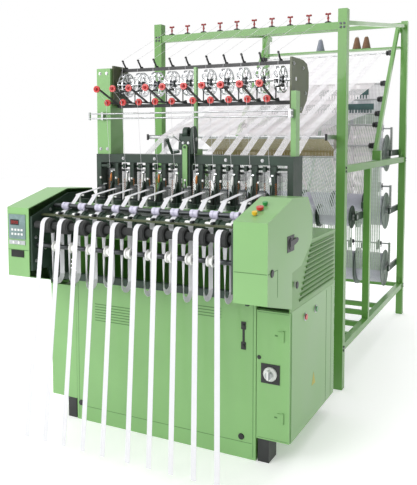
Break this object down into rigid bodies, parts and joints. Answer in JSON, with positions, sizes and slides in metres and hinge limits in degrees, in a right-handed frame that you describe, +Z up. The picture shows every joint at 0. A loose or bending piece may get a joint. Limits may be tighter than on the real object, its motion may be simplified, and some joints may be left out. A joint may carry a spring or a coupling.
{
  "type": "power loom",
  "caption": "Narrow fabric needle loom that weaves a row of tapes side by side, with take-off rollers, weft feeder, heald frames and a warp beam creel behind.",
  "frame": {"origin": "on the floor at the centre of the loom's four anchor holes", "axes": "+Z up, +Y from the weaver's side back to the creel, +X to the right seen from the weaver's side"},
  "size_m": [1.309, 3.1623, 2.324],
  "materials": {
    "pale_green": "semi-gloss enamel",
    "green": "semi-gloss enamel",
    "dark_casting": "dark enamel over casting",
    "black_paint": "satin black",
    "olive_plate": "satin olive",
    "dark_rubber": "ground rubber",
    "grip_roller": "knurled and painted",
    "lilac_sleeve": "satin",
    "steel": "brushed",
    "chrome": "polished",
    "white_plastic": "gloss",
    "white_tape": "woven",
    "warp_yarn": "threads",
    "wound_beam": "wound yarn between dark flanges",
    "cone_yarn": "wound yarn",
    "red_plastic": "gloss",
    "green_plastic": "gloss",
    "yellow_plastic": "gloss",
    "switch_plate": "gloss",
    "panel_film": "satin"
  },
  "bodies": {
    "frame": {"beam_bearings": "dark_casting", "breast_beam": "pale_green", "centre_tower": "dark_casting", "control_cabinet": "pale_green", "creel_cross_bars": "green", "creel_posts": "green", "creel_side_rails": "green", "deflector_bar": "olive_plate", "display_panel": "panel_film", "feeder_bars": "black_paint", "feeder_plates": "olive_plate", "feeder_posts": "pale_green", "front_panel": "pale_green", "front_tie_bar": "dark_casting", "heald_beam": "dark_casting", "heald_cheeks": "dark_casting", "heald_columns": "dark_casting", "lease_arms": "green", "lease_rods": "steel", "left_cabinet": "pale_green", "left_housing": "pale_green", "machine_bed": "green", "machine_feet": "black_paint", "rear_panel": "green", "right_housing": "pale_green", "roller_cheeks": "dark_casting", "side_covers": "green", "side_walls": "green", "tape_falls": "white_tape", "tape_guides": "white_plastic", "tape_runs": "white_tape", "thread_cones": "cone_yarn", "thread_guides": "red_plastic", "thread_rods": "steel", "warp_sheets": "warp_yarn", "yarn_guide_arms": "black_paint", "yarn_guides": "red_plastic"},
    "front_roller": {"front_roller": "dark_rubber"},
    "takeup_roller": {"takeup_roller": "grip_roller"},
    "press_roller": {"press_roller": "lilac_sleeve"},
    "ring_shaft": {"ring_shaft": "white_plastic"},
    "batten": {"batten": "steel"},
    "weft_needle_bar": {"weft_needle_bar": "steel"},
    "heald_frame_front": {"heald_frame_front": "steel"},
    "heald_frame_rear": {"heald_frame_rear": "steel"},
    "knitting_needle_bar": {"knitting_needle_bar": "steel"},
    "link_arm": {"link_arm": "pale_green"},
    "feed_wheels": {"feed_wheels": "chrome"},
    "cabinet_door": {"cabinet_door": "pale_green"},
    "main_switch": {"main_switch": "switch_plate"},
    "stop_button": {"stop_button": "red_plastic"},
    "start_button": {"start_button": "green_plastic"},
    "jog_button": {"jog_button": "yellow_plastic"},
    "side_stop_button": {"side_stop_button": "red_plastic"},
    "side_start_button": {"side_start_button": "green_plastic"},
    "rear_beam_low": {"rear_beam_low": "wound_beam"},
    "rear_beam_middle": {"rear_beam_middle": "wound_beam"},
    "rear_beam_high": {"rear_beam_high": "wound_beam"},
    "front_beam_rear": {"front_beam_rear": "wound_beam"},
    "front_beam_front": {"front_beam_front": "wound_beam"}
  },
  "joints": [
    {"name": "takeup_roller_turn", "type": "hinge", "parent": "frame", "child": "takeup_roller", "pos_m": [0, -0.448, 1.04], "axis": [1, 0, 0], "continuous": true},
    {"name": "front_roller_turn", "type": "hinge", "parent": "frame", "child": "front_roller", "pos_m": [0, -0.586, 1.02], "axis": [1, 0, 0], "continuous": true},
    {"name": "press_roller_turn", "type": "hinge", "parent": "frame", "child": "press_roller", "pos_m": [0, -0.448, 1.0974], "axis": [1, 0, 0], "continuous": true},
    {"name": "ring_shaft_turn", "type": "hinge", "parent": "frame", "child": "ring_shaft", "pos_m": [0, -0.58, 0.925], "axis": [1, 0, 0], "continuous": true},
    {"name": "batten_turn", "type": "hinge", "parent": "frame", "child": "batten", "pos_m": [0, -0.18, 0.985], "axis": [1, 0, 0], "range_deg": [-12, 0]},
    {"name": "weft_needle_bar_slide", "type": "slide", "parent": "frame", "child": "weft_needle_bar", "axis": [1, 0, 0], "range_m": [0, 0.05]},
    {"name": "heald_frame_front_slide", "type": "slide", "parent": "frame", "child": "heald_frame_front", "axis": [0, 0, 1], "range_m": [-0.03, 0.03]},
    {"name": "heald_frame_rear_slide", "type": "slide", "parent": "frame", "child": "heald_frame_rear", "axis": [0, 0, 1], "range_m": [-0.03, 0.03]},
    {"name": "knitting_needle_bar_slide", "type": "slide", "parent": "frame", "child": "knitting_needle_bar", "axis": [0, 0, 1], "range_m": [-0.012, 0]},
    {"name": "link_arm_turn", "type": "hinge", "parent": "frame", "child": "link_arm", "pos_m": [0, -0.08, 1.374], "axis": [0, 1, 0], "range_deg": [-10, 10]},
    {"name": "feed_wheels_turn", "type": "hinge", "parent": "frame", "child": "feed_wheels", "pos_m": [0, 0.07, 1.7], "axis": [1, 0, 0], "continuous": true},
    {"name": "cabinet_door_turn", "type": "hinge", "parent": "frame", "child": "cabinet_door", "pos_m": [0.643, -0.33, 0.392], "axis": [0, 0, 1], "range_deg": [0, 110]},
    {"name": "main_switch_turn", "type": "hinge", "parent": "cabinet_door", "child": "main_switch", "pos_m": [0.556, -0.33, 0.403], "axis": [0, 1, 0], "range_deg": [0, 90]},
    {"name": "stop_button_slide", "type": "slide", "parent": "frame", "child": "stop_button", "axis": [0, 0.2531, -0.9674], "range_m": [0, 0.004], "stiffness_N_per_m": 500},
    {"name": "start_button_slide", "type": "slide", "parent": "frame", "child": "start_button", "axis": [0, 0.2531, -0.9674], "range_m": [0, 0.004], "stiffness_N_per_m": 500},
    {"name": "jog_button_slide", "type": "slide", "parent": "frame", "child": "jog_button", "axis": [0, 0.2531, -0.9674], "range_m": [0, 0.004], "stiffness_N_per_m": 500},
    {"name": "side_stop_button_slide", "type": "slide", "parent": "frame", "child": "side_stop_button", "axis": [-1, 0, 0], "range_m": [0, 0.004], "stiffness_N_per_m": 500},
    {"name": "side_start_button_slide", "type": "slide", "parent": "frame", "child": "side_start_button", "axis": [-1, 0, 0], "range_m": [0, 0.004], "stiffness_N_per_m": 500},
    {"name": "rear_beam_low_turn", "type": "hinge", "parent": "frame", "child": "rear_beam_low", "pos_m": [0, 2.13, 0.42], "axis": [1, 0, 0], "continuous": true},
    {"name": "rear_beam_middle_turn", "type": "hinge", "parent": "frame", "child": "rear_beam_middle", "pos_m": [0, 2.13, 0.86], "axis": [1, 0, 0], "continuous": true},
    {"name": "rear_beam_high_turn", "type": "hinge", "parent": "frame", "child": "rear_beam_high", "pos_m": [0, 2.13, 1.3], "axis": [1, 0, 0], "continuous": true},
    {"name": "front_beam_rear_turn", "type": "hinge", "parent": "frame", "child": "front_beam_rear", "pos_m": [0, 1.43, 0.985], "axis": [1, 0, 0], "continuous": true},
    {"name": "front_beam_front_turn", "type": "hinge", "parent": "frame", "child": "front_beam_front", "pos_m": [0, 1.11, 0.925], "axis": [1, 0, 0], "continuous": true}
  ],
  "couplings": [
    {"joint": "press_roller_turn", "follows": "takeup_roller_turn", "ratio": -2.2353},
    {"joint": "front_roller_turn", "follows": "takeup_roller_turn", "ratio": 1.1176},
    {"joint": "heald_frame_rear_slide", "follows": "heald_frame_front_slide", "ratio": -1}
  ]
}
